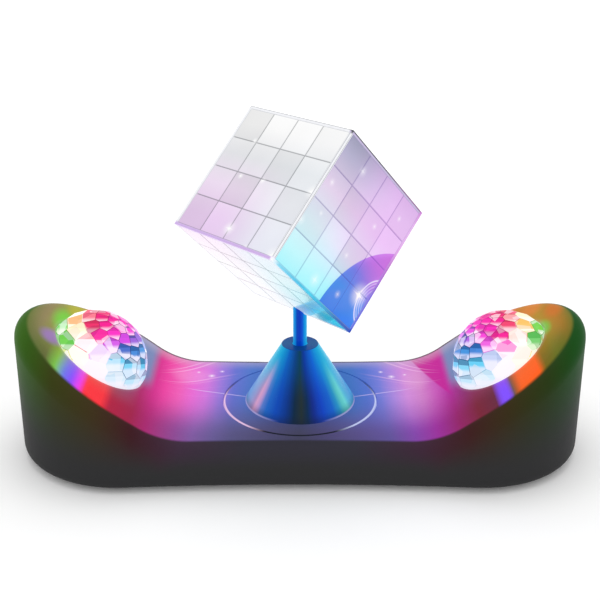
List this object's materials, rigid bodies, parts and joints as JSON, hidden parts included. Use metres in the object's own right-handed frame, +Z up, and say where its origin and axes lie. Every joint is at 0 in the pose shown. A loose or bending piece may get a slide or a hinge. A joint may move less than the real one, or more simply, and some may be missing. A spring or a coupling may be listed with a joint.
{
  "type": "rotating mirror cube disco lamp",
  "caption": "Cradle-shaped table lamp with a mirror-tiled cube turning on an edge above a cone, and a faceted crystal dome turning on each raised end.",
  "frame": {"origin": "on the table under the spindle, at the middle of the underside of the feet", "axes": "+X along the base, +Z up, -Y towards the viewer, +Y towards the rear with the inlet and button"},
  "size_m": [0.326, 0.1358, 0.1963],
  "materials": {
    "housing": "fine matte moulded plastic",
    "deck_plate": "satin moulded plastic",
    "cone": "deep gloss blue",
    "spindle": "gloss blue lacquer",
    "mirror_tile": "bright mirror tile",
    "edge_strip": "pale silver",
    "core_plastic": "plain grey plastic",
    "crystal": "faceted clear",
    "rubber": "matte",
    "steel": "plain",
    "bronze": "sintered",
    "gear_plastic": "natural acetal",
    "motor_can": "plated can",
    "black_plastic": "plain",
    "circuit_board": "green solder mask",
    "reflector": "bright",
    "led_lens": "clear dome, lit",
    "button": "satin"
  },
  "bodies": {
    "base": {"upper_shell": "housing", "bottom_tray": "housing", "rubber_feet": "rubber", "tray_screws": "steel", "centre_plate": "deck_plate", "plate_screws": "steel", "cone_cover": "cone", "cone_screws": "steel", "upper_bush": "bronze", "lower_bush": "bronze", "spindle_motor": "motor_can", "motor_strap": "steel", "strap_screws": "steel", "main_board": "circuit_board", "board_screws": "steel", "board_components": "black_plastic", "power_socket": "steel", "switch_board": "circuit_board", "switch_screws": "steel", "tact_switch": "black_plastic", "left_bearing_plate": "black_plastic", "left_plate_screws": "steel", "left_led_board": "circuit_board", "left_leds": "led_lens", "left_reflector": "reflector", "left_dome_motor": "motor_can", "left_motor_screws": "steel", "right_bearing_plate": "black_plastic", "right_plate_screws": "steel", "right_led_board": "circuit_board", "right_leds": "led_lens", "right_reflector": "reflector", "right_dome_motor": "motor_can", "right_motor_screws": "steel"},
    "cube_spinner": {"spindle_shaft": "spindle", "shaft_clip": "steel", "spindle_gear": "gear_plastic", "cube_edge_frame": "edge_strip", "cube_core": "core_plastic", "cube_lid": "core_plastic", "cube_hub": "core_plastic", "mirror_tiles_upper_left": "mirror_tile", "mirror_tiles_right": "mirror_tile", "mirror_tiles_under_left": "mirror_tile", "mirror_tiles_left_back": "mirror_tile", "mirror_tiles_upper_back": "mirror_tile", "mirror_tiles_under_back": "mirror_tile"},
    "spindle_drive": {"spindle_motor_shaft": "steel", "spindle_pinion": "gear_plastic"},
    "power_button": {"power_button": "button"},
    "left_dome": {"left_crystal_dome": "crystal", "left_dome_gear": "gear_plastic"},
    "left_drive": {"left_motor_shaft": "steel", "left_pinion": "gear_plastic"},
    "right_dome": {"right_crystal_dome": "crystal", "right_dome_gear": "gear_plastic"},
    "right_drive": {"right_motor_shaft": "steel", "right_pinion": "gear_plastic"}
  },
  "joints": [
    {"name": "cube_spin", "type": "hinge", "parent": "base", "child": "cube_spinner", "pos_m": [0, 0, 0], "axis": [0, 0, 1], "continuous": true},
    {"name": "spindle_pinion_spin", "type": "hinge", "parent": "base", "child": "spindle_drive", "pos_m": [0, 0.024, 0], "axis": [0, 0, 1], "continuous": true},
    {"name": "left_dome_spin", "type": "hinge", "parent": "base", "child": "left_dome", "pos_m": [-0.116, 0, 0.05692], "axis": [0.5878, 0, 0.809], "continuous": true},
    {"name": "left_pinion_spin", "type": "hinge", "parent": "base", "child": "left_drive", "pos_m": [-0.116, 0.038, 0.05692], "axis": [0.5878, 0, 0.809], "continuous": true},
    {"name": "right_dome_spin", "type": "hinge", "parent": "base", "child": "right_dome", "pos_m": [0.116, 0, 0.05692], "axis": [-0.5878, 0, 0.809], "continuous": true},
    {"name": "right_pinion_spin", "type": "hinge", "parent": "base", "child": "right_drive", "pos_m": [0.116, 0.038, 0.05692], "axis": [-0.5878, 0, 0.809], "continuous": true},
    {"name": "power_button_press", "type": "slide", "parent": "base", "child": "power_button", "axis": [0, -1, 0], "range_m": [0, 0.001], "stiffness_N_per_m": 600}
  ],
  "couplings": [
    {"joint": "spindle_pinion_spin", "follows": "cube_spin", "ratio": -3},
    {"joint": "left_pinion_spin", "follows": "left_dome_spin", "ratio": -5.3333},
    {"joint": "right_pinion_spin", "follows": "right_dome_spin", "ratio": -5.3333}
  ]
}
